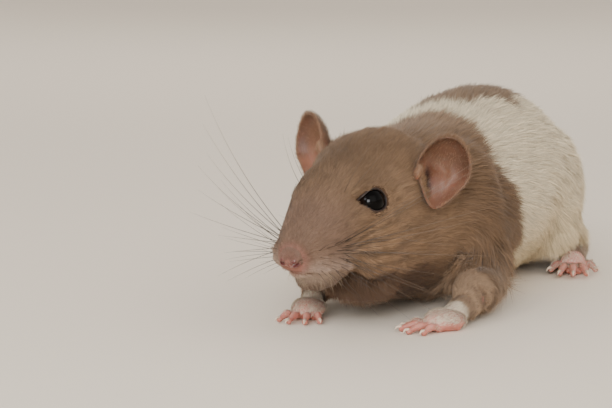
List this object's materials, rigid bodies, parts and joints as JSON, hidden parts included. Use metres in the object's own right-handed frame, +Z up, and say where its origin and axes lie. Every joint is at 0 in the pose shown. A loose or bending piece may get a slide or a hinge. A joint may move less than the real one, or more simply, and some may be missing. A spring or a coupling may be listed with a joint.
{
  "type": "rat",
  "caption": "Life-size fancy rat crouched low on its belly, head turned and forefeet forward, brown hood on a cream body, tail curled round one side.",
  "frame": {"origin": "on the floor, under the middle of the whole rat's box", "axes": "+X towards the rat's left, -Y towards its nose, +Z up"},
  "size_m": [0.0914, 0.2324, 0.0571],
  "materials": {
    "brown_coat": "short soft mushroom-brown fur",
    "cream_coat": "short soft cream-white fur",
    "ear_skin": "thin bare skin with fine down",
    "nose_skin": "moist pink skin",
    "foot_skin": "pink skin with sparse white hair",
    "tail_skin": "ringed pink scales with sparse bristles",
    "eye": "wet black"
  },
  "bodies": {
    "root": {"head": "brown_coat", "jaw": "brown_coat", "whisker_pad_left": "brown_coat", "whisker_pad_right": "brown_coat", "neck": "brown_coat", "chest": "brown_coat", "upper_arm_left": "brown_coat", "upper_arm_right": "brown_coat", "forearm_left": "brown_coat", "forearm_right": "brown_coat", "belly": "cream_coat", "rump": "cream_coat", "thigh_left": "cream_coat", "thigh_right": "cream_coat", "ear_left": "ear_skin", "ear_right": "ear_skin", "eye_left": "eye", "eye_right": "eye", "nose": "nose_skin", "forefoot_left": "foot_skin", "forefoot_right": "foot_skin", "hind_foot_left": "foot_skin", "hind_foot_right": "foot_skin", "tail_1": "tail_skin", "tail_2": "tail_skin", "tail_3": "tail_skin", "tail_4": "tail_skin", "tail_5": "tail_skin"}
  },
  "joints": []
}
